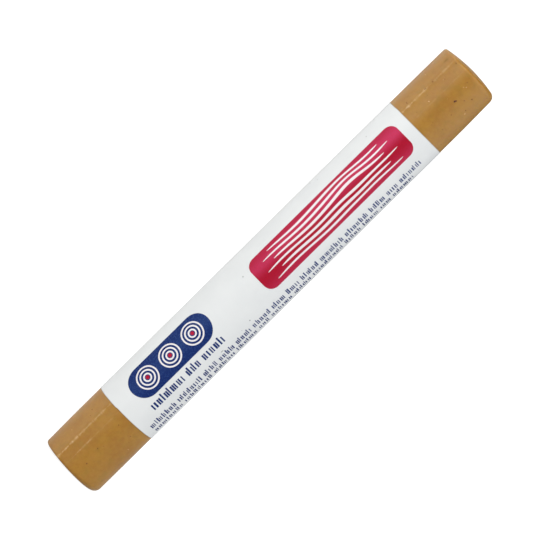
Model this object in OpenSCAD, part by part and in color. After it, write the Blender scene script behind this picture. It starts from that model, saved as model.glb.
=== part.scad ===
// Furniture repair wax stick: a cast wax rod that stands on its flat foot, in a film label that is
// wrapped once round it and glued only to itself, so that the label can be pushed along the rod.
// Z runs up the rod's axis from the foot, and the printed front of the label faces -Y.

/* [Wax stick] */
// Diameter of the rod
stick_d = 11.1; // [9:0.1:16]
// Length of the rod, from its foot to the top of its crown
stick_len = 89; // [80:0.5:140]
// Radius of the rounded edge of the foot
foot_round = 1; // [0.3:0.1:2]
// Height of the shallow crown on the upper end
crown_rise = 0.5; // [0.2:0.1:1.5]
// Radius of the rounded edge of the crown
crown_round = 0.6; // [0.3:0.1:2]

/* [Label] */
// Length of the label along the rod
label_len = 63.7; // [40:0.1:70]
// Bare wax between the foot and the label
foot_bare = 12.6; // [4:0.1:20]
// Thickness of the film
film_t = 0.05; // [0.03:0.01:0.3]
// Running clearance between the rod and the film
film_clearance = 0.02; // [0.01:0.01:0.1]
// Width of the lap, where the film covers its own start
lap_w = 4; // [2:0.5:8]

/* [Lap glue] */
// Thickness of the glue in the lap
glue_t = 0.02; // [0.01:0.01:0.1]
// Width of the dry margin between the glue and the edges of the lap
glue_margin = 0.5; // [0.2:0.1:0.8]

/* [Hidden] */
$fn = 96;

// The crown is part of a ball that would meet the rod's wall at crown_rise below its top.
stick_r = stick_d / 2;
crown_r = (pow(stick_r, 2) + pow(crown_rise, 2)) / (2 * crown_rise);
crown_centre_z = stick_len - crown_r;

// The edge of the crown touches the rod's wall and, from inside, the ball.
crown_edge_r = stick_r - crown_round;
crown_edge_z = crown_centre_z + sqrt(pow(crown_r - crown_round, 2) - pow(crown_edge_r, 2));
crown_touch_r = crown_edge_r * crown_r / (crown_r - crown_round);
foot_edge_r = stick_r - foot_round;

// The film winds as a two-centre spiral: half a turn round the rod's axis, then half a turn round an
// axis that is set off by half of lap_step, which brings it clear of its own start by lap_step.
film_r = stick_r + film_clearance;
lap_step = film_t + glue_t;
spiral_offset = lap_step / 2;
half_turn = 180;

// Angles that a width along the film takes up, and the lap's place at the back of the rod.
function wrapped_angle(width, radius) = width / radius * half_turn / PI;
back_angle = 90;
glue_r = film_r + film_t;
lap_angle = wrapped_angle(lap_w, glue_r);
margin_angle = wrapped_angle(glue_margin, glue_r);
lap_start = back_angle - lap_angle / 2;

// Half of the rod's section, to be turned round its axis.
module stick_section() {
    square([foot_edge_r, crown_edge_z]);
    translate([0, foot_round]) square([stick_r, crown_edge_z - foot_round]);
    translate([foot_edge_r, foot_round]) circle(foot_round);
    translate([crown_edge_r, crown_edge_z]) circle(crown_round);
    intersection() {
        translate([0, crown_centre_z]) circle(crown_r);
        translate([0, crown_edge_z]) square([crown_touch_r, stick_len - crown_edge_z]);
    }
}

// A strip bent to an arc round the Z axis, from the X axis on, and standing at a given height.
module bent_strip(radius, thickness, sweep, height, base_z) {
    rotate_extrude(angle = sweep) translate([radius, base_z]) square([thickness, height]);
}

module wax_stick() {
    color("peru") rotate_extrude() stick_section();
}

module label_wrap() {
    color("whitesmoke") rotate([0, 0, lap_start]) {
        bent_strip(film_r, film_t, half_turn, label_len, foot_bare);
        translate([spiral_offset, 0, 0])
            rotate([0, 0, half_turn])
                bent_strip(film_r + spiral_offset, film_t, half_turn, label_len, foot_bare);
        bent_strip(film_r + lap_step, film_t, lap_angle, label_len, foot_bare);
    }
}

module lap_glue() {
    color("gainsboro") rotate([0, 0, lap_start + margin_angle])
        bent_strip(glue_r, glue_t, lap_angle - 2 * margin_angle,
            label_len - 2 * glue_margin, foot_bare + glue_margin);
}

wax_stick();
label_wrap();
lap_glue();
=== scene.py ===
"""Dresses the furniture repair wax stick: a cast wax rod, the film label wound on it, and its print.

The rod stands on its foot at z = 0, with its axis along Z. The printed front of the label faces -Y,
and an angle round the rod is counted from that front, positive towards +X. Lengths are in metres.
"""

from __future__ import annotations

import logging
import math
from dataclasses import dataclass
from enum import Enum
from typing import Any, Sequence

import bpy
import numpy as np
from mathutils import Matrix, Vector

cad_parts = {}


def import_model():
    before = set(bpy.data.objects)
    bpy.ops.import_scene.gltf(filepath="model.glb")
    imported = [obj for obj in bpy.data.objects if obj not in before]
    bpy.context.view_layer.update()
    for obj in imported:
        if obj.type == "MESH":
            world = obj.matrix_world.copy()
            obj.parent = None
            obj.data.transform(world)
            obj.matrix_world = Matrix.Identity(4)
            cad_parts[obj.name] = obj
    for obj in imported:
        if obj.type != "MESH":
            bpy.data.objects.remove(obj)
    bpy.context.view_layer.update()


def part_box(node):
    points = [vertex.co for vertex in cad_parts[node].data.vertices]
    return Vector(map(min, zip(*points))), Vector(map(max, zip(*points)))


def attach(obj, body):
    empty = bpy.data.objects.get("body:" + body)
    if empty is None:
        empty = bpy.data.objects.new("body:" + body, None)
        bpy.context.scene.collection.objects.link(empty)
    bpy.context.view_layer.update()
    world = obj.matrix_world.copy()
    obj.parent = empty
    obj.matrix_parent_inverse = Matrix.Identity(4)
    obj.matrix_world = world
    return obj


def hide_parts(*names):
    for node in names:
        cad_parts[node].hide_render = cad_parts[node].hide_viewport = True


LOG = logging.getLogger("wax_stick")
MM = 0.001
TURN = 2 * math.pi
# An edge that turns by more than this is shaded sharp.
SHARP_EDGE = math.radians(50)
# The casting's mean girth, as a share of the solid rod's.
CAST_GIRTH = 1.0069
WHITE = (1.0, 1.0, 1.0, 1.0)
Colour = tuple[float, float, float, float]


class Body(Enum):
    """The bodies that pieces ride on."""

    STICK = "stick"
    LABEL = "label"


class Slot(Enum):
    """The material slots of the part's record."""

    WAX = "wax"
    FILM = "label_film"
    GLUE = "lap_glue"
    CRIMSON = "crimson_ink"
    NAVY = "navy_ink"


class Value:
    """A node's output, which takes part in sums as a number does."""

    def __init__(self, board: Board, socket: bpy.types.NodeSocket) -> None:
        """Keeps the output's socket and the board that it is on."""
        self.board = board
        self.socket = socket

    def __add__(self, other: Number) -> Value:
        """Returns the sum."""
        return self.board.math("ADD", self, other)

    def __sub__(self, other: Number) -> Value:
        """Returns the difference."""
        return self.board.math("SUBTRACT", self, other)

    def __rsub__(self, other: float) -> Value:
        """Returns a number less this value."""
        return self.board.math("SUBTRACT", other, self)

    def __mul__(self, other: Number) -> Value:
        """Returns the product."""
        return self.board.math("MULTIPLY", self, other)

    def __truediv__(self, other: Number) -> Value:
        """Returns the quotient."""
        return self.board.math("DIVIDE", self, other)

    def __rtruediv__(self, other: float) -> Value:
        """Returns a number divided by this value."""
        return self.board.math("DIVIDE", other, self)

    def __pow__(self, power: float) -> Value:
        """Returns a power of the value."""
        return self.board.math("POWER", self, power)

    def __neg__(self) -> Value:
        """Returns the value with its sign turned."""
        return self.board.math("MULTIPLY", self, -1.0)


Number = Value | float


class Board:
    """Lays out the nodes of one tree and joins their sockets."""

    def __init__(self, tree: bpy.types.NodeTree) -> None:
        """Starts on the tree of a material, a world or a geometry modifier, and empties it."""
        self.tree = tree
        tree.nodes.clear()

    def node(self, kind: str, plugs: dict | None = None, **settings: Any) -> bpy.types.Node:
        """Adds one node.

        Args:
            kind: The node's Blender type name.
            plugs: Values or plain numbers for its inputs, by input name or number.
            **settings: The node's own properties.

        Returns:
            The new node.
        """
        made = self.tree.nodes.new(kind)
        for name, setting in settings.items():
            setattr(made, name, setting)
        for key, plug in (plugs or {}).items():
            if isinstance(plug, Value):
                self.tree.links.new(plug.socket, made.inputs[key])
            else:
                made.inputs[key].default_value = plug
        return made

    def result(self, kind: str, plugs: dict | None = None, output: int | str = 0, **settings: Any) -> Value:
        """Adds one node, as node does, and returns the output that has a given name or number."""
        return Value(self, self.node(kind, plugs, **settings).outputs[output])

    def math(self, operation: str, *terms: Number) -> Value:
        """Returns the result of one of Blender's math operations on the terms, in order."""
        return self.result("ShaderNodeMath", dict(enumerate(terms)), operation=operation)

    def ramp(self, value: Value, low: float, high: float, start: float = 0.0, end: float = 1.0) -> Value:
        """Returns a value that goes smoothly from start to end while another goes from low to high."""
        plugs = {0: value, 1: low, 2: high, 3: start, 4: end}
        return self.result("ShaderNodeMapRange", plugs, interpolation_type="SMOOTHSTEP")

    def noise(
        self, place: Value, pitch: Number, detail: float = 2.0, roughness: float = 0.5, output: int = 0
    ) -> Value:
        """Returns a noise whose features are as large as the pitch, or three as a colour by output 1."""
        plugs = {"Vector": place, "Scale": 1 / pitch, "Detail": detail, "Roughness": roughness}
        return self.result("ShaderNodeTexNoise", plugs, output)

    def blend(self, share: Value, first: Value | Colour, second: Value | Colour) -> Value:
        """Returns a mix of two colours, by the share of the second one."""
        return self.result("ShaderNodeMix", {0: share, 6: first, 7: second}, 2, data_type="RGBA")

    def bell(self, off: Value) -> Value:
        """Returns a bell curve, which is 1 at 0 and dies away by about 2 on either side."""
        return self.math("EXPONENT", -(off * off))

    def split(self, vector: Value) -> list[Value]:
        """Returns the X, Y and Z of a vector."""
        return [Value(self, socket) for socket in self.node("ShaderNodeSeparateXYZ", {0: vector}).outputs]

    def join(self, x: Number, y: Number, z: Number) -> Value:
        """Returns a vector made of three values."""
        return self.result("ShaderNodeCombineXYZ", {0: x, 1: y, 2: z})

    def own_place(self) -> Value:
        """Returns the place in the piece's own coordinates."""
        return self.result("ShaderNodeTexCoord", output="Object")

    def bump(self, height: Value, strength: float, distance: float) -> Value:
        """Returns the normal of a fine relief."""
        plugs = {"Strength": strength, "Distance": distance, "Height": height}
        return self.result("ShaderNodeBump", plugs)


class Recipe(Board):
    """A geometry tree with named sizes, which turns a base mesh into a finished one."""

    def __init__(self, name: str, sizes: dict[str, float | int]) -> None:
        """Starts the tree.

        Args:
            name: The tree's name.
            sizes: Its named inputs and their values.
        """
        super().__init__(bpy.data.node_groups.new(name, "GeometryNodeTree"))
        self.sizes = sizes
        self.identifiers = {}
        ports = self.tree.interface
        ports.new_socket("Base", in_out="INPUT", socket_type="NodeSocketGeometry")
        for label, size in sizes.items():
            kind = "NodeSocketInt" if isinstance(size, int) else "NodeSocketFloat"
            port = ports.new_socket(label, in_out="INPUT", socket_type=kind)
            self.identifiers[label] = port.identifier
        ports.new_socket("Result", in_out="OUTPUT", socket_type="NodeSocketGeometry")
        self.given = self.node("NodeGroupInput").outputs

    def __getitem__(self, name: str) -> Value:
        """Returns the base or one of the named sizes."""
        return Value(self, self.given[name])

    def place(self) -> Value:
        """Returns the place of each point."""
        return self.result("GeometryNodeInputPosition")

    def chance(self, low: float, high: float, seed: int) -> Value:
        """Returns a random number between two bounds for each point, by a fixed seed."""
        plugs = {2: low, 3: high, 8: seed}
        return self.result("FunctionNodeRandomValue", plugs, 1, data_type="FLOAT")

    def move(self, geometry: Value, position: Value) -> Value:
        """Returns the geometry with its points at a new position."""
        return self.result("GeometryNodeSetPosition", {"Geometry": geometry, "Position": position})

    def sheet(self, length: Number, width: Number, columns: Number, rows: Number) -> Value:
        """Returns a flat grid of points, centred on the origin."""
        plugs = {"Size X": length, "Size Y": width, "Vertices X": columns, "Vertices Y": rows}
        return self.result("GeometryNodeMeshGrid", plugs)

    def row(self, count: Value, pitch: Value, along: tuple[float, float]) -> Value:
        """Lays out points in a row that is centred on the origin.

        Args:
            count: How many points.
            pitch: The distance from point to point.
            along: The row's direction in X and Y.

        Returns:
            The points.
        """
        x, y = along
        start = (count - 1) * pitch * -0.5
        plugs = {"Count": count, "Start Location": self.join(start * x, start * y, 0.0)}
        plugs["Offset"] = self.join(pitch * x, pitch * y, 0.0)
        return self.result("GeometryNodeMeshLine", plugs)

    def repeat(self, points: Value, shape: Value, **plugs: Value) -> Value:
        """Puts a shape on each point, with a Scale or a Rotation, and returns the copies made real."""
        copies = self.result("GeometryNodeInstanceOnPoints", {"Points": points, "Instance": shape, **plugs})
        return self.result("GeometryNodeRealizeInstances", {0: copies})

    def run(self, geometry: Value, base: bpy.types.Mesh, finish: bpy.types.Material) -> bpy.types.Mesh:
        """Closes the tree and gives the plain mesh that it makes.

        Args:
            geometry: The finished geometry.
            base: The mesh that the tree starts from.
            finish: The material of the result.

        Returns:
            The finished mesh.
        """
        real = self.result("GeometryNodeRealizeInstances", {0: geometry})
        smooth = self.result("GeometryNodeSetShadeSmooth", {0: real})
        dressed = self.result("GeometryNodeSetMaterial", {0: smooth, "Material": finish})
        self.node("NodeGroupOutput", {0: dressed})
        carrier = add_object(self.tree.name, base)
        modifier = carrier.modifiers.new(self.tree.name, "NODES")
        modifier.node_group = self.tree
        for label, size in self.sizes.items():
            modifier[self.identifiers[label]] = size
        return plain_mesh(carrier)


def add_object(name: str, data: bpy.types.ID) -> bpy.types.Object:
    """Puts a new object with the given data into the scene."""
    made = bpy.data.objects.new(name, data)
    bpy.context.scene.collection.objects.link(made)
    return made


def plain_mesh(carrier: bpy.types.Object) -> bpy.types.Mesh:
    """Takes the mesh that an object's modifiers make, and removes the object and its first mesh.

    Args:
        carrier: The object that carries the modifiers.

    Returns:
        The finished mesh.
    """
    graph = bpy.context.evaluated_depsgraph_get()
    mesh = bpy.data.meshes.new_from_object(carrier.evaluated_get(graph), depsgraph=graph)
    base = carrier.data
    bpy.data.objects.remove(carrier)
    bpy.data.meshes.remove(base)
    return mesh


def points_mesh(points: np.ndarray) -> bpy.types.Mesh:
    """Returns a mesh that holds only points, one for each row."""
    mesh = bpy.data.meshes.new("points")
    mesh.from_pydata(points.tolist(), [], [])
    return mesh


def closed_slab(outer: np.ndarray, inner: np.ndarray, finish: bpy.types.Material) -> bpy.types.Mesh:
    """Makes a thin closed shell from two matching grids of points.

    Args:
        outer: The grid of the outer face, as rows, columns and X, Y, Z.
        inner: The grid of the inner face, of the same shape.
        finish: The shell's material.

    Returns:
        The shell's mesh, with its faces pointing outwards.
    """
    rows, columns, _ = outer.shape
    count = rows * columns
    index = np.arange(count).reshape(rows, columns)
    face = np.stack([index[:-1, :-1], index[:-1, 1:], index[1:, 1:], index[1:, :-1]], -1).reshape(-1, 4)
    back = np.roll(face[:, ::-1], 1, axis=1) + count
    rim = np.concatenate([index[0, :-1], index[:-1, -1], index[-1, :0:-1], index[:0:-1, 0]])
    ahead = np.roll(rim, -1)
    edge = np.stack([rim, rim + count, ahead + count, ahead], -1)
    mesh = bpy.data.meshes.new("slab")
    places = np.concatenate([outer.reshape(-1, 3), inner.reshape(-1, 3)])
    mesh.from_pydata(places.tolist(), [], np.concatenate([face, back, edge]).tolist())
    mesh.validate()
    mesh.shade_smooth()
    mesh.set_sharp_from_angle(angle=SHARP_EDGE)
    mesh.materials.append(finish)
    return mesh


def add_piece(name: str, mesh: bpy.types.Mesh, body: Body) -> bpy.types.Object:
    """Puts a finished mesh into the scene as a piece of the object.

    Args:
        name: The piece's name.
        mesh: Its mesh, in its final place.
        body: The body that it moves with.

    Returns:
        The piece's object.
    """
    mesh.name = name
    piece = add_object(name, mesh)
    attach(piece, body.value)
    LOG.info("%s: %d faces on %s", name, len(mesh.polygons), body.value)
    return piece


def new_material(name: str) -> tuple[bpy.types.Material, Board]:
    """Starts a material, and returns it with the board of its node tree."""
    material = bpy.data.materials.new(name)
    material.use_nodes = True
    return material, Board(material.node_tree)


def close_material(board: Board, **plugs: Any) -> None:
    """Adds a material's surface shader, by its inputs with _ for each space in a name, and its output."""
    named = {name.replace("_", " "): plug for name, plug in plugs.items()}
    board.node("ShaderNodeOutputMaterial", {"Surface": board.result("ShaderNodeBsdfPrincipled", named)})


@dataclass(frozen=True)
class Mould:
    """What the mould leaves on the rod: its girth with the draft, and the line where the halves part.

    Attributes:
        radius: The rod's mean radius.
        length: The rod's length.
        draft: How much thicker the foot is than the crown, as a share of the girth.
        parting: The angle of the parting line at the foot.
        twist: How far that line turns from the foot to the crown.
    """

    radius: float
    length: float
    draft: float = 0.022
    parting: float = math.radians(-28.3)
    twist: float = math.radians(-6.2)

    def girth(self, height: np.ndarray) -> np.ndarray:
        """Returns the rod's girth at a height, as a share of its mean girth."""
        return 1 + self.draft * (0.5 - height / self.length)


@dataclass(frozen=True)
class Mark:
    """A small mark on the stick.

    Attributes:
        angle: Its place round the rod, in degrees.
        height: Its height above the foot, in mm.
        length: Its length along the rod, in mm.
        width: Its width round the rod, in mm.
        proud: How much further out than the others it lies, in mm.
    """

    angle: float
    height: float
    length: float
    width: float
    proud: float = 0.0


@dataclass(frozen=True)
class PaleLine:
    """A pale broken line along the wax.

    Attributes:
        angle: Its angle at the foot.
        slope: How far it turns per metre of height.
        width: Its half width.
        faint: How much of it shows between its clear stretches.
        clear: Its clear stretches, as lower height, upper height and how much shows.
    """

    angle: float
    slope: float
    width: float
    faint: float
    clear: tuple[tuple[float, float, float], ...]

    def bearing(self, z: Value) -> Value:
        """Returns the line's angle at a height."""
        return z * self.slope + self.angle


@dataclass(frozen=True)
class WaxFinish:
    """Tan pigmented wax: softly mottled, dull, with a pale broken line where the mould parted.

    The half of the rod past the parting line, which faces the lights on the left, is painted a little paler
    and bluer: a painted sheen. A track is the place, beside the axis, from which a pale line takes the
    noise that it wanders, swells or breaks by.
    """

    mould: Mould
    deep: Colour = (0.293, 0.128, 0.0081, 1.0)
    light: Colour = (0.334, 0.162, 0.0127, 1.0)
    olive: Colour = (0.262, 0.136, 0.0085, 1.0)
    rosy: Colour = (0.346, 0.161, 0.0197, 1.0)
    shadow: Colour = (0.190, 0.102, 0.0120, 1.0)
    pale: Colour = (0.530, 0.350, 0.160, 1.0)
    # Painted sheen: its pale bluish colour and its greatest share, laid on the half past the parting line.
    painted_sheen: Colour = (0.567, 0.410, 0.310, 1.0)
    painted_sheen_share: float = 0.10
    shadow_share: float = 0.75
    cloud_pitch: float = 5.0 * MM
    tint_pitch: float = 1.3 * MM
    grain_pitch: float = 0.7 * MM
    grain_share: float = 0.8
    drag_pitch: float = 0.35 * MM
    drag_stretch: float = 0.04
    drag_share: float = 0.5
    pore_pitch: float = 0.22 * MM
    # Where the painted sheen fades in, as a distance past the parting line.
    painted_sheen_edge: tuple[float, float] = (-0.7 * MM, 0.2 * MM)
    fade_in: float = 0.4 * MM
    fade_out: float = 0.5 * MM
    wander: float = 1.4
    wander_pitch: float = 0.8 * MM
    swell_pitch: float = 1.1 * MM
    break_pitch: float = 0.5 * MM
    wander_track: tuple[float, float] = (0.7 * MM, 0.4 * MM)
    swell_track: tuple[float, float] = (0.3 * MM, 0.9 * MM)
    break_track: tuple[float, float] = (0.2 * MM, 0.5 * MM)
    patches: tuple[Mark, ...] = (Mark(-47.3, 87.05, 1.0, 0.5), Mark(61.5, 2.55, 0.55, 0.45))
    scrape: PaleLine = PaleLine(
        angle=math.radians(-9.6),
        slope=0.0,
        width=0.10 * MM,
        faint=0.10,
        clear=((2.9 * MM, 4.6 * MM, 0.45), (5.0 * MM, 6.1 * MM, 0.60)),
    )

    @property
    def parting(self) -> PaleLine:
        """The line where the halves of the mould met."""
        return PaleLine(
            angle=self.mould.parting,
            slope=self.mould.twist / self.mould.length,
            width=0.16 * MM,
            faint=0.24,
            clear=(
                (0.3 * MM, 5.7 * MM, 0.90),
                (6.0 * MM, 12.6 * MM, 0.50),
                (76.3 * MM, 79.7 * MM, 0.90),
                (80.0 * MM, 82.4 * MM, 0.60),
                (83.8 * MM, 87.4 * MM, 0.42),
            ),
        )

    def make(self) -> bpy.types.Material:
        """Returns the material, patterned on the rod's own coordinates."""
        material, board = new_material("cast_wax")
        place = board.own_place()
        x, y, z = board.split(place)
        angle = board.math("ARCTAN2", x, -y)
        grains = board.noise(place, self.grain_pitch, detail=4.0, roughness=0.6)
        body = self.mottled(board, place, grains)
        # Painted sheen: the half past the parting line, facing the left lights, is blended towards a pale
        # bluish colour.
        bearing = self.parting.bearing(z)
        past_line = y * board.math("SINE", bearing) + x * board.math("COSINE", bearing)
        painted_sheen_mask = board.ramp(past_line, *self.painted_sheen_edge, self.painted_sheen_share, 0.0)
        body = board.blend(painted_sheen_mask, body, self.painted_sheen)
        for patch in self.patches:
            body = board.blend(self.patch_share(board, angle, z, patch), body, self.shadow)
        for line in (self.parting, self.scrape):
            body = board.blend(self.line_share(board, angle, z, line), body, self.pale)

        drag = board.noise(board.join(x, y, z * self.drag_stretch), self.drag_pitch)
        pores = board.noise(place, self.pore_pitch, detail=3.0, roughness=0.6)
        close_material(
            board,
            Base_Color=body,
            Roughness=board.ramp(grains, 0.3, 0.7, 0.33, 0.42),
            Specular_IOR_Level=0.42,
            Subsurface_Weight=0.25,
            Subsurface_Radius=(1.0, 0.5, 0.2),
            Subsurface_Scale=0.6 * MM,
            Normal=board.bump(drag * self.drag_share + pores, strength=0.35, distance=0.02 * MM),
        )
        return material

    def mottled(self, board: Board, place: Value, grains: Value) -> Value:
        """Works out the wax's own colour: soft clouds and grains, with olive and rosy tints.

        Args:
            board: The wax's board.
            place: The place on the rod.
            grains: The noise of the wax's grains.

        Returns:
            The colour.
        """
        clouds = board.noise(place, self.cloud_pitch, detail=3.0, roughness=0.55)
        mottle = clouds + (grains - 0.5) * self.grain_share
        body = board.blend(board.ramp(mottle, 0.25, 0.75), self.deep, self.light)
        green, red, _ = board.split(board.noise(place, self.tint_pitch, output=1))
        body = board.blend(board.ramp(green, 0.50, 0.72, 0.0, 0.55), body, self.olive)
        return board.blend(board.ramp(red, 0.52, 0.74, 0.0, 0.50), body, self.rosy)

    def patch_share(self, board: Board, angle: Value, z: Value, patch: Mark) -> Value:
        """Works out how much of a soft patch shows.

        Args:
            board: The wax's board.
            angle: The angle round the rod.
            z: The height.
            patch: The patch.

        Returns:
            The share.
        """
        across = (angle - math.radians(patch.angle)) * (self.mould.radius / (patch.width / 2 * MM))
        along = (z - patch.height * MM) / (patch.length / 2 * MM)
        return board.bell(along) * board.bell(across) * self.shadow_share

    def line_share(self, board: Board, angle: Value, z: Value, line: PaleLine) -> Value:
        """Works out how much of a line shows: it wanders, swells, breaks and fades along the rod.

        Args:
            board: The wax's board.
            angle: The angle round the rod.
            z: The height.
            line: The line.

        Returns:
            The share.
        """
        width = line.width / self.mould.radius
        wander = board.noise(board.join(*self.wander_track, z), self.wander_pitch) - 0.5
        off_line = board.math("SINE", angle - (wander * (self.wander * width) + line.bearing(z)))
        swell = board.noise(board.join(*self.swell_track, z), self.swell_pitch)
        swollen = board.ramp(swell, 0.35, 0.65, 0.6, 1.5) * width
        track = board.join(*self.break_track, z)
        lumps = board.noise(track, self.break_pitch, detail=3.0, roughness=0.7)
        broken = board.ramp(lumps, 0.36, 0.62, 0.18, 1.0)
        shown = line.faint
        for low, high, strength in line.clear:
            into = board.ramp(z, low - self.fade_in, low + self.fade_in)
            out_of = board.ramp(z, high - self.fade_out, high + self.fade_out, 1.0, 0.0)
            shown = board.math("MULTIPLY_ADD", into * out_of, strength - line.faint, shown)
        return board.bell(off_line / swollen) * (broken * shown)


@dataclass(frozen=True)
class SpeckFinish:
    """A speck: a pinhole, a grain or dust, darker or paler than what it lies in."""

    name: str
    core: Colour
    edge: Colour
    uneven_pitch: float = 0.3 * MM

    def make(self) -> bpy.types.Material:
        """Returns the material, a little uneven from speck to speck."""
        material, board = new_material(self.name)
        uneven = board.noise(board.own_place(), self.uneven_pitch)
        close_material(
            board,
            Base_Color=board.blend(board.ramp(uneven, 0.35, 0.65), self.core, self.edge),
            Roughness=0.6,
            Specular_IOR_Level=0.2,
        )
        return material


def rippled(board: Board, place: Value) -> tuple[Value, Value]:
    """Returns the noise of the film's faint ripples, which its print shares, and their normal."""
    ripple = board.noise(place, pitch=2.5 * MM)
    return ripple, board.bump(ripple, strength=0.25, distance=0.03 * MM)


@dataclass(frozen=True)
class FilmFinish:
    """Satin white label film with a few grey dust specks and painted shade along its cut edges."""

    white: Colour = (0.658, 0.671, 0.667, 1.0)
    shade: Colour = (0.635, 0.649, 0.647, 1.0)
    dust: Colour = (0.420, 0.430, 0.430, 1.0)
    # Painted shade: the dark colour laid along the film's cut edges, where it meets the wax.
    edge_shade: Colour = (0.190, 0.125, 0.060, 1.0)
    cloud_pitch: float = 6.0 * MM
    speck_pitch: float = 3.2 * MM

    def make(self) -> bpy.types.Material:
        """Returns the material, patterned on the label's own coordinates."""
        material, board = new_material("satin_film")
        place = board.own_place()
        clouds = board.noise(place, self.cloud_pitch, detail=3.0, roughness=0.6)
        body = board.blend(board.ramp(clouds, 0.3, 0.7), self.white, self.shade)
        cells = board.node("ShaderNodeTexVoronoi", {"Vector": place, "Scale": 1 / self.speck_pitch}).outputs
        spot = board.ramp(Value(board, cells["Distance"]), 0.02, 0.045, 1.0, 0.0)
        chosen = board.ramp(board.split(Value(board, cells["Color"]))[0], 0.66, 0.68, 0.0, 0.55)
        dusty = board.blend(spot * chosen, body, self.dust)
        ripple, normal = rippled(board, place)
        # Painted shade along the cut edges: the rim attribute marks them.
        rim = board.result("ShaderNodeAttribute", output="Fac", attribute_name="rim")
        edge_shaded = rim * board.ramp(ripple, 0.3, 0.7, 0.70, 0.95)
        close_material(
            board,
            Base_Color=board.blend(edge_shaded, dusty, self.edge_shade),
            Roughness=board.ramp(clouds, 0.3, 0.7, 0.30, 0.38),
            Specular_IOR_Level=0.18,
            Normal=normal,
        )
        return material


@dataclass(frozen=True)
class InkFinish:
    """Printed ink with a satin face and the faint mottle of a press."""

    name: str
    full: Colour
    thin: Colour
    shine: Colour
    roughness: float
    gloss: float
    press_pitch: float = 0.35 * MM

    def make(self) -> bpy.types.Material:
        """Returns the material, patterned on the label's own coordinates."""
        material, board = new_material(self.name)
        place = board.own_place()
        press = board.noise(place, self.press_pitch, detail=4.0, roughness=0.7)
        close_material(
            board,
            Base_Color=board.blend(board.ramp(press, 0.35, 0.75), self.full, self.thin),
            Roughness=board.ramp(press, 0.3, 0.7, self.roughness, self.roughness + 0.08),
            Specular_IOR_Level=self.gloss,
            Specular_Tint=self.shine,
            Normal=rippled(board, place)[1],
        )
        return material


@dataclass(frozen=True)
class GlueFinish:
    """Dried clear glue in the lap."""

    cream: Colour = (0.700, 0.680, 0.600, 1.0)
    amber: Colour = (0.560, 0.500, 0.360, 1.0)
    streak_pitch: float = 0.8 * MM
    streak_stretch: float = 0.15

    def make(self) -> bpy.types.Material:
        """Returns the material, with the streaks of a glue roller."""
        material, board = new_material("dried_glue")
        x, y, z = board.split(board.own_place())
        streaks = board.noise(board.join(x, y, z * self.streak_stretch), self.streak_pitch, detail=3.0)
        close_material(
            board,
            Base_Color=board.blend(streaks, self.cream, self.amber),
            Roughness=0.25,
            Specular_IOR_Level=0.5,
        )
        return material


@dataclass(frozen=True)
class Specks:
    """A piece that is made of flat specks, set into a round wall.

    Attributes:
        name: The piece's name.
        finish: What the specks are made of.
        body: The body that they move with.
        slot: Their slot in the record; not used.
        depth: Half of their thickness.
    """

    name: str
    finish: SpeckFinish
    body: Body
    slot: Slot
    depth: float

    def build(self, marks: Sequence[Mark], out: np.ndarray) -> None:
        """Sets the specks into the wall.

        Args:
            marks: Their places and sizes.
            out: How far the middle of each lies from the axis.
        """
        angles = np.radians([mark.angle for mark in marks])
        heights = np.array([mark.height for mark in marks]) * MM
        base = points_mesh(np.stack([out * np.sin(angles), -out * np.cos(angles), heights], -1))
        halves = np.array([(mark.length * MM / 2, mark.width * MM / 2, self.depth) for mark in marks])
        sizes = base.attributes.new("speck_size", "FLOAT_VECTOR", "POINT")
        sizes.data.foreach_set("vector", halves.astype(np.float32).ravel())

        recipe = Recipe(self.name, {"Radius": 1.0})
        size = recipe.result("GeometryNodeInputNamedAttribute", {0: "speck_size"}, data_type="FLOAT_VECTOR")
        x, y, _ = recipe.split(recipe.place())
        align = "FunctionNodeAlignRotationToVector"
        outward = recipe.result(align, {"Vector": recipe.join(x, y, 0.0)}, axis="Z")
        plugs = {"Rotation": outward, "Vector": (0.0, 0.0, 1.0)}
        along = recipe.result(align, plugs, axis="X", pivot_axis="Z")
        pebble = recipe.result("GeometryNodeMeshIcoSphere", {"Radius": recipe["Radius"], "Subdivisions": 2})
        copies = recipe.repeat(recipe["Base"], pebble, Rotation=along, Scale=size)
        add_piece(self.name, recipe.run(copies, base, self.finish.make()), self.body)


@dataclass(frozen=True)
class FleckKind:
    """One kind of fleck in the wax.

    Attributes:
        name: The name of its piece.
        finish: What the flecks are made of.
        strewn: How many small ones are strewn at random.
        marks: Those that have a known place.
    """

    name: str
    finish: SpeckFinish
    strewn: int
    marks: tuple[Mark, ...]


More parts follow.
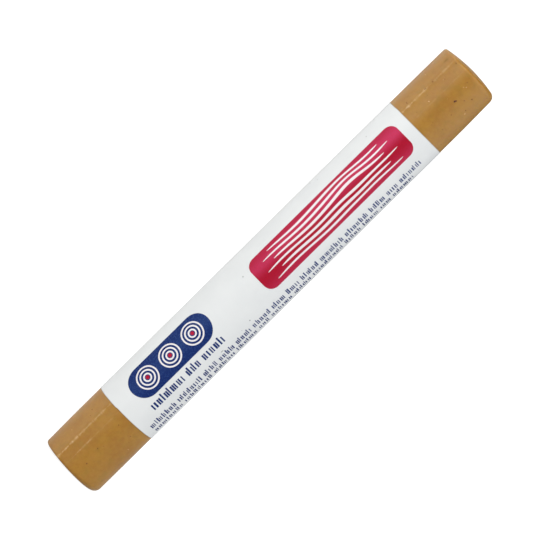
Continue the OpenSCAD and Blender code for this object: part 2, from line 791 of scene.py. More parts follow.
FLECKS = (
    FleckKind(
        "dark_flecks",
        SpeckFinish("dark_fleck", (0.055, 0.014, 0.012, 1.0), (0.110, 0.030, 0.020, 1.0)),
        strewn=0,
        marks=(
            Mark(15.4, 83.50, 0.42, 0.30),
            Mark(16.4, 83.72, 0.26, 0.24),
        ),
    ),
    FleckKind(
        "brown_flecks",
        SpeckFinish("brown_fleck", (0.170, 0.070, 0.016, 1.0), (0.240, 0.110, 0.024, 1.0)),
        strewn=110,
        marks=(
            Mark(-34.6, 83.25, 0.30, 0.28, 0.03),
            Mark(-34.9, 81.60, 0.36, 0.16, 0.03),
            Mark(-40.5, 78.05, 0.22, 0.60),
            Mark(-15.0, 78.10, 0.20, 0.24),
            Mark(-23.7, 81.15, 0.16, 0.18),
            Mark(-22.3, 84.85, 0.18, 0.18),
            Mark(27.8, 81.65, 0.24, 0.22),
            Mark(26.0, 84.65, 0.24, 0.20),
            Mark(41.6, 83.75, 0.22, 0.24),
            Mark(34.7, 85.65, 0.28, 0.26),
            Mark(35.6, 79.10, 0.26, 0.20),
            Mark(14.5, 78.75, 0.20, 0.18),
            Mark(-28.2, 87.80, 0.20, 0.18),
            Mark(7.5, 86.95, 0.16, 0.18),
            Mark(59.0, 77.30, 0.20, 0.20),
            Mark(-47.0, 9.45, 0.28, 0.30),
            Mark(-39.9, 8.65, 0.18, 0.18),
            Mark(5.4, 10.90, 0.28, 0.26),
            Mark(33.1, 10.85, 0.26, 0.28),
            Mark(8.5, 5.95, 0.22, 0.22),
            Mark(13.5, 3.10, 0.26, 0.24),
            Mark(39.4, 10.00, 0.18, 0.18),
        ),
    ),
    FleckKind(
        "pale_flecks",
        SpeckFinish("pale_fleck", (0.600, 0.390, 0.200, 1.0), (0.520, 0.310, 0.110, 1.0)),
        strewn=60,
        marks=(
            Mark(-14.3, 80.65, 0.22, 0.38),
            Mark(12.3, 86.30, 0.15, 0.15),
            Mark(8.9, 86.00, 0.18, 0.12),
            Mark(45.4, 83.25, 0.34, 0.20),
            Mark(-58.7, 83.20, 0.18, 0.24),
            Mark(-46.5, 4.95, 0.18, 0.18),
            Mark(49.7, 9.05, 0.18, 0.24),
        ),
    ),
)
LABEL_DUST = SpeckFinish("label_dust", (0.27, 0.28, 0.27, 1.0), (0.40, 0.41, 0.40, 1.0))
DUST_MARKS = (
    Mark(-24.0, 40.95, 0.28, 0.26),
    Mark(35.6, 36.90, 0.26, 0.28),
    Mark(38.8, 34.90, 0.16, 0.16),
    Mark(40.7, 30.40, 0.62, 0.20),
    Mark(-71.3, 58.50, 0.24, 0.24),
    Mark(-61.0, 59.75, 0.18, 0.22),
    Mark(-50.8, 69.90, 0.20, 0.20),
)


@dataclass(frozen=True)
class EndWear:
    """How rounded and how tapered the rod's two ends are along one side.

    Attributes:
        foot_round: The radius of the foot's edge.
        foot_taper: How much thinner the rod gets towards the foot.
        crown_round: The radius of the crown's edge.
        crown_taper: How much thinner the rod gets towards the crown.
    """

    foot_round: float
    foot_taper: float
    crown_round: float
    crown_taper: float


@dataclass
class WaxRod:
    """The cast rod: a flat foot, a straight wall and a shallow crown, all a little uneven.

    The heights and lengths of strewn flecks are in mm, as a mark's are, and a fleck's shape is its width
    over its length.
    """

    mould: Mould
    crown_rise: float = 0.58 * MM
    crown_worn: float = 0.05 * MM
    crisp_ends: EndWear = EndWear(0.35 * MM, 0.085 * MM, 0.52 * MM, 0.05 * MM)
    worn_ends: EndWear = EndWear(1.25 * MM, 0.04 * MM, 1.15 * MM, 0.14 * MM)
    taper_reach: float = 10.0 * MM
    fleck_depth: float = 0.05 * MM
    fleck_sink: float = 0.036 * MM
    strewn_heights: tuple[float, float] = (2.0, 87.0)
    strewn_lengths: tuple[float, float] = (0.06, 0.15)
    strewn_shapes: tuple[float, float] = (0.7, 1.3)
    columns: int = 270
    flat_rows: int = 9
    edge_rows: int = 10
    wall_rows: int = 230
    weld: float = 0.001 * MM
    seed: int = 11

    @property
    def radius(self) -> float:
        """The rod's mean radius."""
        return self.mould.radius

    @property
    def length(self) -> float:
        """The rod's length, with its crown a little worn down."""
        return self.mould.length - self.crown_worn

    def outline(self, wear: EndWear) -> np.ndarray:
        """Works out the rod's outline from the middle of the foot to the top of the crown.

        Args:
            wear: How rounded and tapered its ends are.

        Returns:
            The points, as rows of radius, 0 and height.
        """
        foot_round, crown_round = wear.foot_round, wear.crown_round
        ball = (self.radius**2 + self.crown_rise**2) / (2 * self.crown_rise)
        ball_z = self.length - ball
        edge_r = self.radius - crown_round
        edge_z = ball_z + math.sqrt((ball - crown_round) ** 2 - edge_r**2)
        tilt = math.asin(edge_r / (ball - crown_round))
        foot_r = self.radius - foot_round

        flat = np.linspace(0, foot_r, self.flat_rows, endpoint=False)
        low_arc = np.linspace(-math.pi / 2, 0, self.edge_rows, endpoint=False)
        wall = np.linspace(foot_round, edge_z, self.wall_rows, endpoint=False)
        high_arc = np.linspace(0, math.pi / 2 - tilt, self.edge_rows, endpoint=False)
        lean = np.linspace(tilt, 0, self.flat_rows)
        stretches = (
            (flat, 0 * flat),
            (foot_r + foot_round * np.cos(low_arc), foot_round + foot_round * np.sin(low_arc)),
            (0 * wall + self.radius, wall),
            (edge_r + crown_round * np.cos(high_arc), edge_z + crown_round * np.sin(high_arc)),
            (ball * np.sin(lean), ball_z + ball * np.cos(lean)),
        )
        out, height = (np.concatenate(side) for side in zip(*stretches))
        to_foot = np.clip(1 - height / self.taper_reach, 0, 1)
        to_crown = np.clip(1 - (self.length - height) / self.taper_reach, 0, 1)
        thinner = (wear.foot_taper * to_foot**2 + wear.crown_taper * to_crown**2) / self.radius
        return np.stack([out * (self.mould.girth(height) - thinner), 0 * height, height], -1)

    def build(self) -> None:
        """Turns the outline round the axis, adds the mould's marks and puts the rod into the scene."""
        outlines = (self.outline(self.crisp_ends), self.outline(self.worn_ends))
        recipe = Recipe(
            "turned_rod",
            {
                "Radius": self.radius,
                "Columns": self.columns,
                "Rows": len(outlines[0]),
                "Parting Angle": self.mould.parting,
                "Parting Slope": self.mould.twist / self.length,
                "Parting Height": 0.008 * MM,
                "Parting Width": 0.10 * MM,
                "Ragged Pitch": 0.8 * MM,
                "Column Crowding": 0.3,
                "Dent Depth": 0.010 * MM,
                "Dent Pitch": 5.0 * MM,
                "Pit Depth": 0.008 * MM,
                "Pit Pitch": 0.6 * MM,
                "End Lean": 0.040,
                "Lean Reach": 6.0 * MM,
            },
        )
        grid = recipe.sheet(1.0, 1.0, recipe["Columns"], recipe["Rows"])
        across, up, _ = recipe.split(recipe.place())

        turn = (across + 0.5) * TURN
        from_line = turn - (self.mould.parting + self.mould.twist / 2)
        angle = turn - recipe.math("SINE", from_line * 2.0) * recipe["Column Crowding"]

        row = recipe.math("ROUND", (up + 0.5) * (recipe["Rows"] - 1))
        worn_share = (recipe.math("SINE", angle) * 0.5 + 0.5) ** 2.0
        plugs = {0: worn_share, 4: self.sampled(recipe, row)}
        plugs[5] = self.sampled(recipe, row + recipe["Rows"])
        out, _, height = recipe.split(recipe.result("ShaderNodeMix", plugs, 1, data_type="VECTOR"))

        smooth = self.placed(recipe, out, angle, height)
        marked = self.marks(recipe, smooth, angle, height) * (out / recipe["Radius"]) + out
        leaned = self.leaned(recipe, smooth, height)
        turned = recipe.move(grid, self.placed(recipe, marked, angle, leaned))
        closed = recipe.result("GeometryNodeMergeByDistance", {0: turned, "Distance": self.weld})
        mesh = recipe.run(closed, points_mesh(np.concatenate(outlines)), WaxFinish(self.mould).make())
        rod = add_piece("cast_wax_rod", mesh, Body.STICK)
        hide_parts("wax_stick")

    def sampled(self, recipe: Recipe, row: Value) -> Value:
        """Returns the point of the base outlines that has a given number."""
        plugs = {0: recipe["Base"], 1: recipe.place(), 2: row}
        return recipe.result("GeometryNodeSampleIndex", plugs, data_type="FLOAT_VECTOR", domain="POINT")

    def placed(self, recipe: Recipe, out: Value, angle: Value, height: Value) -> Value:
        """Returns the place at a distance out from the axis, an angle round it and a height."""
        return recipe.join(out * recipe.math("SINE", angle), out * -recipe.math("COSINE", angle), height)

    def marks(self, recipe: Recipe, place: Value, angle: Value, height: Value) -> Value:
        """Works out how far the wall stands out: two ragged parting ridges, dents and pits.

        Args:
            recipe: The rod's recipe.
            place: The smooth rod's place.
            angle: The angle round the rod.
            height: The height above the foot.

        Returns:
            The distance.
        """
        line = height * recipe["Parting Slope"] + recipe["Parting Angle"]
        off = recipe.math("SINE", angle - line) * recipe["Radius"] / recipe["Parting Width"]
        lumps = recipe.noise(recipe.join(0.0, 0.0, height), recipe["Ragged Pitch"], detail=3.0)
        ragged = recipe.ramp(lumps, 0.3, 0.7, 0.2, 1.2)
        raised = recipe.bell(off) * ragged * recipe["Parting Height"]
        for kind in ("Dent", "Pit"):
            wave = recipe.noise(place, recipe[f"{kind} Pitch"]) - 0.5
            raised = wave * recipe[f"{kind} Depth"] + raised
        return raised

    def leaned(self, recipe: Recipe, place: Value, height: Value) -> Value:
        """Leans the foot a little out of square, fading out up the wall.

        Args:
            recipe: The rod's recipe.
            place: The smooth rod's place.
            height: The height above the foot.

        Returns:
            The new height.
        """
        share = recipe.ramp(height / recipe["Lean Reach"], 0.0, 1.0, 1.0, 0.0)
        reach = recipe["Radius"] - recipe.split(place)[0]
        return height + reach * recipe["End Lean"] * share

    def add_flecks(self, kind: FleckKind) -> None:
        """Sets flecks into the wall: those that show, and a fine dust of smaller ones.

        Args:
            kind: The kind of fleck.
        """
        drawn = np.random.default_rng(self.seed + kind.strewn)
        strewn = [
            Mark(
                angle=drawn.uniform(-180, 180),
                height=drawn.uniform(*self.strewn_heights),
                length=length,
                width=length * drawn.uniform(*self.strewn_shapes),
            )
            for length in drawn.uniform(*self.strewn_lengths, kind.strewn)
        ]
        marks = [*kind.marks, *strewn]
        heights = np.array([mark.height for mark in marks]) * MM
        proud = np.array([mark.proud for mark in marks]) * MM
        out = self.radius * self.mould.girth(heights) + proud - self.fleck_sink
        Specks(kind.name, kind.finish, Body.STICK, Slot.WAX, self.fleck_depth).build(marks, out)


@dataclass(frozen=True)
class Jog:
    """A small jog of the knife in a cut edge.

    Attributes:
        depth: How far the edge steps down.
        place: The angle at which it steps, in degrees from the front.
        spread: The angle over which it steps, in degrees.
    """

    depth: float
    place: float
    spread: float

    def drop(self, turn: np.ndarray) -> np.ndarray:
        """Returns how far the edge has stepped down at each angle from the front."""
        return -self.depth / (1 + np.exp((np.degrees(turn) - self.place) / self.spread))


@dataclass
class WoundFilm:
    """The label's film, wound once round the rod, and at the back up onto its own start.

    A place on it is given by its turn, the angle round the rod from the front, by its lift above the
    film's outer face and by its height above the foot. Each of its ripple waves has a count round the
    rod, a pitch up the rod and a head start.
    """

    mould: Mould
    low: float
    high: float
    thickness: float = 0.020 * MM
    clearance: float = 0.038 * MM
    glue: float = 0.02 * MM
    glue_margin: float = 0.5 * MM
    glue_skin: float = 0.002 * MM
    climb: float = math.radians(20)
    lap: float = 4.0 * MM
    spare: float = 0.05 * MM
    skew: float = 0.03 * MM
    bow: float = 0.07 * MM
    low_jog: Jog = Jog(0.09 * MM, -16.5, 0.8)
    high_jog: Jog = Jog(0.07 * MM, -50.0, 1.2)
    ripple_height: float = 0.002 * MM
    ripple_waves: tuple[tuple[int, float, float], ...] = ((3, 2.1 * MM, 0.0), (5, -3.7 * MM, 1.0))
    edge_lift: float = 0.03 * MM
    corner_lift: float = 0.16 * MM
    lift_reach: float = 0.9 * MM
    corner_power: int = 24
    dust_depth: float = 0.012 * MM
    dust_sink: float = 0.004 * MM
    # How far the painted shade reaches in from the film's cut edges.
    edge_shade_width: float = 0.07 * MM
    rim_steps: tuple[float, ...] = (0.0, 0.02, 0.04, 0.06, 0.08, 0.10, 0.15, 0.30, 0.50)
    rim_share: float = 0.015
    columns: int = 300
    rows: int = 80
    glue_columns: int = 24
    glue_rows: int = 60
    finish: FilmFinish = FilmFinish()
    glue_finish: GlueFinish = GlueFinish()

    @property
    def radius(self) -> float:
        """The inside radius of the film."""
        return self.mould.radius + self.clearance

    @property
    def face_radius(self) -> float:
        """The outside radius of the film's front."""
        return self.radius + self.thickness

    @property
    def middle(self) -> float:
        """The height of the label's middle."""
        return (self.low + self.high) / 2

    @property
    def lap_angle(self) -> float:
        """The angle that the lap takes up."""
        return self.lap / self.face_radius

    @property
    def start(self) -> float:
        """The turn at which the film starts, under the lap."""
        return -math.pi - self.lap_angle / 2

    def ripple(self, turn: np.ndarray, height: np.ndarray) -> np.ndarray:
        """Works out the film's slight waviness, which dies out in the lap.

        Args:
            turn: Angles from the front.
            height: Heights above the foot.

        Returns:
            How far the film stands out.
        """
        waves = 0.0
        for count, pitch, ahead in self.ripple_waves:
            waves = waves + np.sin(count * turn + height / pitch + ahead)
        into_lap = np.clip((np.abs(turn) - (math.pi - self.lap_angle)) / self.lap_angle, 0, 1)
        return self.ripple_height * waves * (1 - into_lap)

    def step_out(self, turn: np.ndarray) -> np.ndarray:
        """Returns how far the film has climbed onto its own start at each angle from the front."""
        rise = np.clip(1 + (turn - self.start - TURN) / self.climb, 0, 1)
        return (self.thickness + self.glue) * rise**2 * (3 - 2 * rise)

    def wind(self, turn: np.ndarray, lift: np.ndarray | float, height: np.ndarray) -> np.ndarray:
        """Puts places on the flat film onto the wound one.

        Args:
            turn: Angles from the front.
            lift: Distances out from the film's outer face.
            height: Heights above the foot.

        Returns:
            The places, with X, Y and Z in the last axis.
        """
        out = self.face_radius + self.step_out(turn) + lift + self.ripple(turn, height)
        out = out * self.mould.girth(height)
        return np.stack(np.broadcast_arrays(out * np.sin(turn), -out * np.cos(turn), height), -1)

    def build(self) -> None:
        """Makes the film as a thin closed sheet and puts it into the scene."""
        turn = np.linspace(self.start, self.start + TURN + self.lap_angle, self.columns)
        rim = np.array(self.rim_steps) * MM / (self.high - self.low)
        inside = np.linspace(self.rim_share, 1 - self.rim_share, self.rows)
        turned, shared = np.meshgrid(turn, np.concatenate([rim, inside, 1 - rim[::-1]]))
        low, high = self.edges(turned)
        height = low + (high - low) * shared
        raised = self.free_edge(turned, height)
        outer = self.wind(turned, raised, height)
        inner = self.wind(turned, raised - self.thickness, height)
        mesh = closed_slab(outer, inner, self.finish.make())
        # Painted shade: the rim attribute is 1 at the cut edges and fades inwards.
        near_rim = np.minimum(shared, 1 - shared) * (self.high - self.low) / self.edge_shade_width
        edge_shade = mesh.attributes.new("rim", "FLOAT", "POINT")
        edge_shade.data.foreach_set("value", np.tile(np.exp(-(near_rim**2)).ravel(), 2).astype(np.float32))
        film = add_piece("label_film", mesh, Body.LABEL)
        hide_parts("label_wrap")

    def build_glue(self) -> None:
        """Makes the strip of glue in the lap and puts it into the scene."""
        margin = self.glue_margin / self.face_radius
        turn = np.linspace(self.start + margin, self.start + self.lap_angle - margin, self.glue_columns)
        height = np.linspace(self.low + self.glue_margin, self.high - self.glue_margin, self.glue_rows)
        turned, height = np.meshgrid(turn, height)
        outer = self.wind(turned, self.glue + self.glue_skin, height)
        mesh = closed_slab(outer, self.wind(turned, -self.glue_skin, height), self.glue_finish.make())
        strip = add_piece("glue_strip", mesh, Body.LABEL)
        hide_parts("lap_glue")

    def edges(self, turn: np.ndarray) -> tuple[np.ndarray, np.ndarray]:
        """Works out the film's cut edges, each with one small jog of the knife.

        Args:
            turn: Angles from the front.

        Returns:
            The heights of the lower and the upper edge.
        """
        skew = self.skew * turn / math.pi
        bow = self.bow * (1 - np.cos(turn))
        low = self.low - self.spare + self.low_jog.drop(turn) + skew + bow
        return low, self.high + self.spare + self.high_jog.drop(turn) + skew

    def free_edge(self, turn: np.ndarray, height: np.ndarray) -> np.ndarray:
        """Lifts the lap's free edge a little, most at its two corners.

        Args:
            turn: Angles from the front.
            height: Heights above the foot.

        Returns:
            How far the film lifts.
        """
        end = self.start + TURN + self.lap_angle
        near = np.clip(1 - (end - turn) * self.face_radius / self.lift_reach, 0, 1)
        off_middle = np.clip(np.abs(height - self.middle) / (self.high - self.middle), 0, 1)
        return near**2 * (self.edge_lift + self.corner_lift * off_middle**self.corner_power)

    def add_dust(self, marks: Sequence[Mark], finish: SpeckFinish) -> None:
        """Sets marks of dust into the film's face.

        Args:
            marks: The marks.
            finish: Their finish.
        """
        heights = np.array([mark.height for mark in marks]) * MM
        turns = np.radians([mark.angle for mark in marks])
        out = (self.face_radius + self.ripple(turns, heights)) * self.mould.girth(heights)
        specks = Specks("dust_marks", finish, Body.LABEL, Slot.FILM, self.dust_depth)
        specks.build(marks, out - self.dust_sink)


@dataclass(frozen=True)
class Panel:
    """A flat printed shape with round corners.

    Attributes:
        start: Where it starts, as a height above the foot.
        length: Its length along the label.
        middle: Its middle, as a distance up the print from the front line.
        width: Its width up the print.
        corner: The radius of its corners.
    """

    start: float
    length: float
    middle: float
    width: float
    corner: float

    @property
    def centre(self) -> tuple[float, float, float]:
        """Its centre on the flat print."""
        return (self.start + self.length / 2, self.middle, 0.0)

    def grid(self, rows: int, columns: int) -> tuple[np.ndarray, np.ndarray]:
        """Covers the shape with a grid.

        Args:
            rows: Points up the print.
            columns: Points along the label.

        Returns:
            Each point's height above the foot, and its distance up the print.
        """
        up = np.sin(np.linspace(-math.pi / 2, math.pi / 2, rows)) * self.width / 2
        past = np.clip(np.abs(up) - (self.width / 2 - self.corner), 0, self.corner)
        inset = self.corner - np.sqrt(self.corner**2 - past**2)
        share = np.linspace(0, 1, columns)
        along = self.start + inset[:, None] + (self.length - 2 * inset[:, None]) * share[None, :]
        return along, np.broadcast_to(self.middle + up[:, None], along.shape)


@dataclass(frozen=True)
class WordRow:
    """A row of plain strokes in the place of small print.

    Attributes:
        start: Where it starts, as a height above the foot.
        length: Its length along the label.
        baseline: Its lower edge, as a distance up the print from the front line.
        tall: The height of a tall stroke.
        pitch: The distance from stroke to stroke.
        stroke: The mean width of a stroke.
        seed: The seed of its random draws.
        clusters: How many clusters a word may have, from the first number to below the second.
        together: How many strokes may stand close together in a cluster.
        cluster_gap: The gap after a cluster, in pitches.
        word_gap: The further gap after a word, in pitches.
        last_word: How far before the row's end the last word starts at the latest, in pitches.
    """

    start: float
    length: float
    baseline: float
    tall: float
    pitch: float
    stroke: float
    seed: int
    clusters: tuple[int, int] = (3, 10)
    together: tuple[int, ...] = (1, 2, 2, 2, 3)
    cluster_gap: float = 0.55
    word_gap: float = 1.5
    last_word: float = 4.0

    def places(self) -> np.ndarray:
        """Works out where the strokes stand: close together in clusters, in groups as long as words.

        Returns:
            The foot of each stroke, as rows of X, Y and 0.
        """
        draws = np.random.default_rng(self.seed)
        along = 0.0
        feet = []
        while along < self.length - self.last_word * self.pitch:
            for _ in range(draws.integers(*self.clusters)):
                strokes = draws.choice(self.together)
                feet += [along + step * self.pitch for step in range(strokes)]
                along += (strokes + self.cluster_gap) * self.pitch
            along += self.word_gap * self.pitch
        spread = np.array(feet) * self.length / feet[-1]
        return np.stack([self.start + spread, 0 * spread + self.baseline, 0 * spread], -1)


@dataclass
class LabelPrint:
    """The print on the film's front: two coloured panels with plain motifs, and rows of small print."""

    film: WoundFilm
    ink: float = 0.012 * MM
    crimson: InkFinish = InkFinish(
        "crimson_ink",
        full=(0.300, 0.0002, 0.0035, 1.0),
        thin=(0.330, 0.0003, 0.0061, 1.0),
        shine=(1.0, 0.20, 0.50, 1.0),
        roughness=0.15,
        gloss=1.0,
    )
    navy: InkFinish = InkFinish(
        "navy_ink",
        full=(0.0025, 0.0117, 0.096, 1.0),
        thin=(0.0059, 0.0184, 0.117, 1.0),
        shine=(0.35, 0.6, 1.0, 1.0),
        roughness=0.22,
        gloss=0.5,
    )
    white: InkFinish = InkFinish(
        "white_ink",
        full=(0.713, 0.671, 0.672, 1.0),
        thin=(0.684, 0.650, 0.652, 1.0),
        shine=WHITE,
        roughness=0.34,
        gloss=0.4,
    )
    name_panel: Panel = Panel(42.30 * MM, 31.96 * MM, 0.36 * MM, 6.13 * MM, 1.65 * MM)
    badge: Panel = Panel(15.9 * MM, 16.7 * MM, 1.60 * MM, 5.4 * MM, 2.7 * MM)
    sunk_share: float = 0.125
    panel_rows: int = 41
    panel_columns: int = 61
    rounds: int = 3
    rings: int = 3
    round_pitch: float = 4.9 * MM
    rows: tuple[WordRow, ...] = (
        WordRow(16.65 * MM, 15.2 * MM, -3.01 * MM, 1.45 * MM, 0.38 * MM, 0.265 * MM, 3),
        WordRow(14.20 * MM, 58.8 * MM, -5.49 * MM, 1.24 * MM, 0.29 * MM, 0.18 * MM, 5),
        WordRow(14.25 * MM, 56.4 * MM, -7.10 * MM, 1.26 * MM, 0.29 * MM, 0.18 * MM, 8),
    )

    def build(self) -> None:
        """Prints the panels, their motifs and the rows of small print."""
        crimson, navy, white = self.crimson.make(), self.navy.make(), self.white.make()
        self.add_panel("crimson_panel", self.name_panel, crimson)
        self.add_panel("navy_badge", self.badge, navy)
        self.add_flat("grain_motif", self.grain_lines(white), 2 * self.ink)
        self.add_flat("ring_motif", self.growth_rings(white), 2 * self.ink)
        self.add_flat("heart_motif", self.ring_hearts(crimson), 2 * self.ink)
        for number, row in enumerate(self.rows):
            self.add_flat(f"print_row_{number}", self.strokes(row, navy), self.ink)

    def wind(self, along: np.ndarray, up: np.ndarray, lift: np.ndarray | float) -> np.ndarray:
        """Returns flat print wound onto the film, from its places along and up the print and its lift."""
        return self.film.wind(-up / self.film.face_radius, lift, along)

    def add_panel(self, name: str, panel: Panel, finish: bpy.types.Material) -> None:
        """Adds a solid printed panel, which is sunk a little into the film.

        Args:
            name: The piece's name.
            panel: Its shape.
            finish: Its material.
        """
        along, up = panel.grid(self.panel_rows, self.panel_columns)
        sunk = self.wind(along, up, -self.film.thickness * self.sunk_share)
        add_piece(name, closed_slab(self.wind(along, up, self.ink), sunk, finish), Body.LABEL)

    def add_flat(self, name: str, flat: bpy.types.Mesh, lift: float) -> None:
        """Gives flat print its thickness and winds it onto the film.

        Args:
            name: The piece's name.
            flat: The print, with X along the label and Y up the print.
            lift: How far its face stands out from the film's face.
        """
        carrier = add_object(name, flat)
        solid = carrier.modifiers.new("thickness", "SOLIDIFY")
        solid.thickness = self.ink
        solid.offset = -1.0
        mesh = plain_mesh(carrier)
        places = np.zeros(len(mesh.vertices) * 3)
        mesh.vertices.foreach_get("co", places)
        along, up, depth = places.reshape(-1, 3).T
        wound = self.wind(along, up, depth + lift)
        mesh.vertices.foreach_set("co", wound.astype(np.float32).ravel())
        mesh.set_sharp_from_angle(angle=SHARP_EDGE)
        mesh.update()
        add_piece(name, mesh, Body.LABEL)

    def on_panel(
        self, recipe: Recipe, motif: Value, panel: Panel, finish: bpy.types.Material
    ) -> bpy.types.Mesh:
        """Returns the flat print of a motif, in its ink, centred on a panel."""
        centred = recipe.result("GeometryNodeTransform", {0: motif, "Translation": panel.centre})
        return recipe.run(centred, bpy.data.meshes.new("none"), finish)

    def strokes(self, row: WordRow, finish: bpy.types.Material) -> bpy.types.Mesh:
        """Lays out one row of strokes, in groups as long as words.

        Args:
            row: The row's sizes.
            finish: Its ink.

        Returns:
            The flat print.
        """
        recipe = Recipe(
            "printed_row",
            {
                "Stroke": row.stroke,
                "Tall": row.tall,
                "Low Share": 0.74,
                "Tall Chance": 0.27,
                "Seed": row.seed,
            },
        )
        square = recipe.sheet(1.0, 1.0, columns=2, rows=4)
        upright = recipe.result("GeometryNodeTransform", {0: square, "Translation": (0.0, 0.5, 0.0)})
        draw = {6: recipe["Tall Chance"], 8: recipe["Seed"]}
        is_tall = recipe.result("FunctionNodeRandomValue", draw, 3, data_type="BOOLEAN")
        low = recipe["Tall"] * recipe["Low Share"]
        height = (recipe["Tall"] - low) * is_tall + low
        width = recipe["Stroke"] * recipe.chance(0.75, 1.35, seed=row.seed + 2)
        copies = recipe.repeat(recipe["Base"], upright, Scale=recipe.join(width, height, 1.0))
        return recipe.run(copies, points_mesh(row.places()), finish)

    def grain_lines(self, finish: bpy.types.Material) -> bpy.types.Mesh:
        """Lays out wood grain: tapered lines along the panel that part round a knot.

        Args:
            finish: Its ink.

        Returns:
            The flat print.
        """
        recipe = Recipe(
            "grain_lines",
            {
                "Lines": 6,
                "Length": self.name_panel.length - 3.0 * MM,
                "Thickness": 0.34 * MM,
                "Tip": 0.02,
                "Pitch": 0.86 * MM,
                "Wave": 0.16 * MM,
                "Wave Length": 15.0 * MM,
                "Wave Drift": 0.35 / MM,
                "Knot Push": 0.55 * MM,
                "Knot Place": 5.0 * MM,
                "Knot Reach": 3.4 * MM,
                "Knot Heart": 0.25 * MM,
                "Knot Fade": 0.55 * self.name_panel.width,
            },
        )
        ribbon = recipe.sheet(recipe["Length"], recipe["Thickness"], columns=72, rows=3)
        x, y, _ = recipe.split(recipe.place())
        share = x * 2.0 / recipe["Length"]
        taper = recipe.math("SQRT", recipe["Tip"] + 1.0 - share**4.0)
        tapered = recipe.move(ribbon, recipe.join(x, y * taper, 0.0))
        points = recipe.row(recipe["Lines"], recipe["Pitch"], along=(0.0, 1.0))
        longer, thicker = recipe.chance(0.78, 1.0, seed=4), recipe.chance(0.7, 1.3, seed=5)
        lines = recipe.repeat(points, tapered, Scale=recipe.join(longer, thicker, 1.0))

        x, y, _ = recipe.split(recipe.place())
        phase = x * TURN / recipe["Wave Length"]
        wave = recipe.math("SINE", y * recipe["Wave Drift"] + phase)
        near = recipe.bell((x - recipe["Knot Place"]) / recipe["Knot Reach"])
        off = recipe.math("ABSOLUTE", y)
        side = y / (off + recipe["Knot Heart"])
        room = 1.0 - off / recipe["Knot Fade"]
        push = near * side * room * recipe["Knot Push"]
        bent = recipe.move(lines, recipe.join(x, wave * recipe["Wave"] + y + push, 0.0))
        return self.on_panel(recipe, bent, self.name_panel, finish)

    def growth_rings(self, finish: bpy.types.Material) -> bpy.types.Mesh:
        """Lays out rounds of growth rings along the badge.

        Args:
            finish: Its ink.

        Returns:
            The flat print.
        """
        recipe = self.badge_recipe("growth_rings", {"Ring Step": 0.60 * MM, "Stroke": 0.26 * MM})
        half = recipe["Stroke"] * 0.5
        ends = {"Start": recipe.join(-half, 0.0, 0.0), "End": recipe.join(half, 0.0, 0.0)}
        stroke = recipe.result("GeometryNodeCurvePrimitiveLine", ends)
        rings = recipe.node("GeometryNodeJoinGeometry")
        for ring in range(1, self.rings + 1):
            plugs = {"Resolution": 40, "Radius": recipe["Ring Step"] * float(ring)}
            circle = recipe.result("GeometryNodeCurvePrimitiveCircle", plugs)
            level = recipe.result("GeometryNodeSetCurveNormal", {0: circle}, mode="Z_UP")
            band = recipe.result("GeometryNodeCurveToMesh", {"Curve": level, "Profile Curve": stroke})
            recipe.tree.links.new(band.socket, rings.inputs[0])
        return self.in_a_row(recipe, Value(recipe, rings.outputs[0]), finish)

    def ring_hearts(self, finish: bpy.types.Material) -> bpy.types.Mesh:
        """Lays out the dot in the middle of each round of growth rings.

        Args:
            finish: Its ink.

        Returns:
            The flat print.
        """
        recipe = self.badge_recipe("ring_hearts", {"Heart": 0.32 * MM})
        plugs = {"Vertices": 24, "Radius": recipe["Heart"]}
        dot = recipe.result("GeometryNodeMeshCircle", plugs, fill_type="TRIANGLE_FAN")
        return self.in_a_row(recipe, dot, finish)

    def badge_recipe(self, name: str, sizes: dict[str, float]) -> Recipe:
        """Starts a recipe that has the sizes of the badge's row of rounds, and some of its own."""
        return Recipe(name, {"Rounds": self.rounds, "Pitch": self.round_pitch, **sizes})

    def in_a_row(self, recipe: Recipe, shape: Value, finish: bpy.types.Material) -> bpy.types.Mesh:
        """Returns the flat print of a shape, in its ink, repeated along the middle of the badge."""
        points = recipe.row(recipe["Rounds"], recipe["Pitch"], along=(1.0, 0.0))
        return self.on_panel(recipe, recipe.repeat(points, shape), self.badge, finish)


@dataclass(frozen=True)
class SoftLight:
    """A tall soft light that stands beside the stick.

    Attributes:
        bearing: Where it stands, in degrees from the front.
        spread: How far it glows to either side of its middle, in degrees.
        glow: How bright its middle is.
    """

    bearing: float
    spread: float
    glow: float

    def brightness(self, board: Board, bearing: Value) -> Value:
        """Returns how bright the light is at a bearing."""
        half_off = board.math("SINE", (bearing - math.radians(self.bearing)) * 0.5)
        return board.bell(half_off * (2 / math.radians(self.spread))) * self.glow


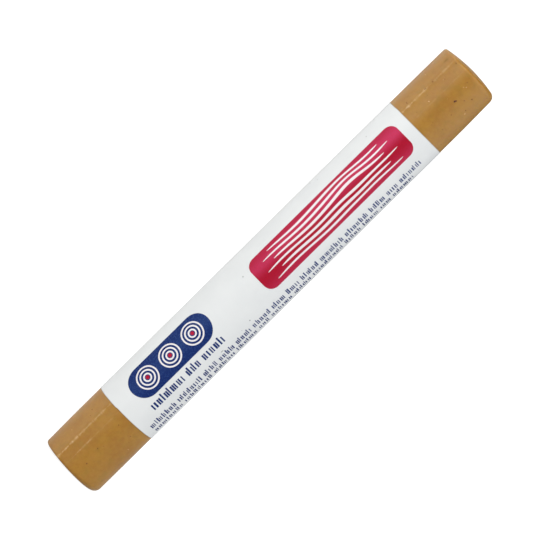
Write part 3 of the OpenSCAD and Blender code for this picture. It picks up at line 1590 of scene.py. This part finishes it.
@dataclass
class Studio:
    """The pale floor, the soft light and the camera.

    Attributes:
        aim: What the camera looks at.
        camera_distance: How far in front of the stick the camera stands.
        camera_height: How high it stands.
        focal_length: Its focal length, in mm.
        roll: How far it is rolled.
        lights: The soft lights that stand round the stick.
        far_wall: How bright the far wall is.
        far_edge: Where it fades out to the sides, as the share of a look straight back.
        far_foot: Where it fades out to the foot, as a look's rise.
        cool_side: The tint of the light from the right.
        backdrop: How bright the backdrop looks to the camera.
        floor_white: How brightly the floor glows to the camera.
        floor_glow: How brightly it glows to the stick.
        floor_grey: How much of the light it throws back.
        floor_radius: Its radius.
        floor_sides: How many sides its round outline has.
    """

    aim: tuple[float, float, float] = (-0.085 * MM, 0.0, 44.43 * MM)
    camera_distance: float = 0.647
    camera_height: float = 0.0767
    focal_length: float = 275.3
    roll: float = math.radians(45.35)
    lights: tuple[SoftLight, ...] = (
        SoftLight(bearing=-131.0, spread=28.0, glow=1.06),
        SoftLight(bearing=-68.0, spread=28.0, glow=1.45),
        SoftLight(bearing=-31.0, spread=23.0, glow=2.95),
        SoftLight(bearing=18.0, spread=26.0, glow=0.44),
        SoftLight(bearing=54.0, spread=28.0, glow=1.43),
        SoftLight(bearing=96.0, spread=34.0, glow=1.46),
    )
    far_wall: float = 0.50
    far_edge: tuple[float, float] = (0.80, 0.97)
    far_foot: tuple[float, float] = (0.05, 0.15)
    cool_side: Colour = (0.985, 1.0, 1.03, 1.0)
    backdrop: float = 1.22
    floor_white: float = 0.93
    floor_glow: float = 0.386
    floor_grey: Colour = (0.25, 0.25, 0.25, 1.0)
    floor_radius: float = 0.60
    floor_sides: int = 96

    def build(self) -> None:
        """Sets up the whole studio."""
        scene = bpy.context.scene
        scene.view_settings.view_transform = "Standard"
        self.add_world(scene)
        self.add_floor()
        self.add_camera(scene)

    def add_world(self, scene: bpy.types.Scene) -> None:
        """Stands the soft lights round the stick, with a pale far wall and a plain white backdrop.

        Args:
            scene: The scene to light.
        """
        scene.world = bpy.data.worlds.new("studio")
        scene.world.use_nodes = True
        board = Board(scene.world.node_tree)
        x, y, z = board.split(board.result("ShaderNodeTexCoord", output="Generated"))
        bearing = board.math("ARCTAN2", x, -y)
        strength = board.ramp(y, *self.far_edge, 0.0, self.far_wall) * board.ramp(z, *self.far_foot)
        for light in self.lights:
            strength = strength + light.brightness(board, bearing)
        tint = board.blend(board.ramp(x, 0.2, 0.9), WHITE, self.cool_side)
        room = board.result("ShaderNodeBackground", {"Color": tint, "Strength": strength})
        backdrop = board.result("ShaderNodeBackground", {"Color": WHITE, "Strength": self.backdrop})
        seen = board.result("ShaderNodeLightPath", output="Is Camera Ray")
        both = board.result("ShaderNodeMixShader", {0: seen, 1: room, 2: backdrop})
        board.node("ShaderNodeOutputWorld", {"Surface": both})

    def add_floor(self) -> None:
        """Lays a round pale floor that glows softly, so that it stays white round the foot."""
        material, board = new_material("pale_floor")
        seen = board.result("ShaderNodeLightPath", output="Is Camera Ray")
        strength = seen * (self.floor_white - self.floor_glow) + self.floor_glow
        glow = board.result("ShaderNodeEmission", {"Color": WHITE, "Strength": strength})
        matte = board.result("ShaderNodeBsdfDiffuse", {"Color": self.floor_grey})
        both = board.result("ShaderNodeAddShader", {0: glow, 1: matte})
        board.node("ShaderNodeOutputMaterial", {"Surface": both})
        angles = np.linspace(0, TURN, self.floor_sides, endpoint=False)
        rim = np.stack([np.cos(angles), np.sin(angles), 0 * angles], -1) * self.floor_radius
        mesh = bpy.data.meshes.new("floor")
        mesh.from_pydata(rim.tolist(), [], [tuple(range(self.floor_sides))])
        mesh.materials.append(material)
        floor = add_object("floor", mesh)

    def add_camera(self, scene: bpy.types.Scene) -> None:
        """Sets the camera at the photograph's view: level, and rolled so that the stick lies aslant.

        Args:
            scene: The scene to look at.
        """
        data = bpy.data.cameras.new("camera")
        data.lens = self.focal_length
        camera = add_object("camera", data)
        place = Vector((0.0, -self.camera_distance, self.camera_height))
        back = (place - Vector(self.aim)).normalized()
        right = Vector((0.0, 0.0, 1.0)).cross(back).normalized()
        level = Matrix((right, back.cross(right), back)).transposed().to_4x4()
        camera.matrix_world = Matrix.Translation(place) @ level @ Matrix.Rotation(self.roll, 4, "Z")
        scene.camera = camera


def main() -> None:
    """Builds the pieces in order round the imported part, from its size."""
    logging.basicConfig(level=logging.INFO, format="%(name)s: %(message)s")
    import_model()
    rod_low, rod_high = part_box("wax_stick")
    film_low, film_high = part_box("label_wrap")
    mould = Mould(radius=CAST_GIRTH * (rod_high.x - rod_low.x) / 2, length=rod_high.z)

    Studio().build()

    rod = WaxRod(mould)
    rod.build()
    for kind in FLECKS:
        rod.add_flecks(kind)

    film = WoundFilm(mould, low=film_low.z, high=film_high.z)
    film.build()
    film.build_glue()
    film.add_dust(DUST_MARKS, LABEL_DUST)
    LabelPrint(film).build()


if __name__ == "__main__":
    main()
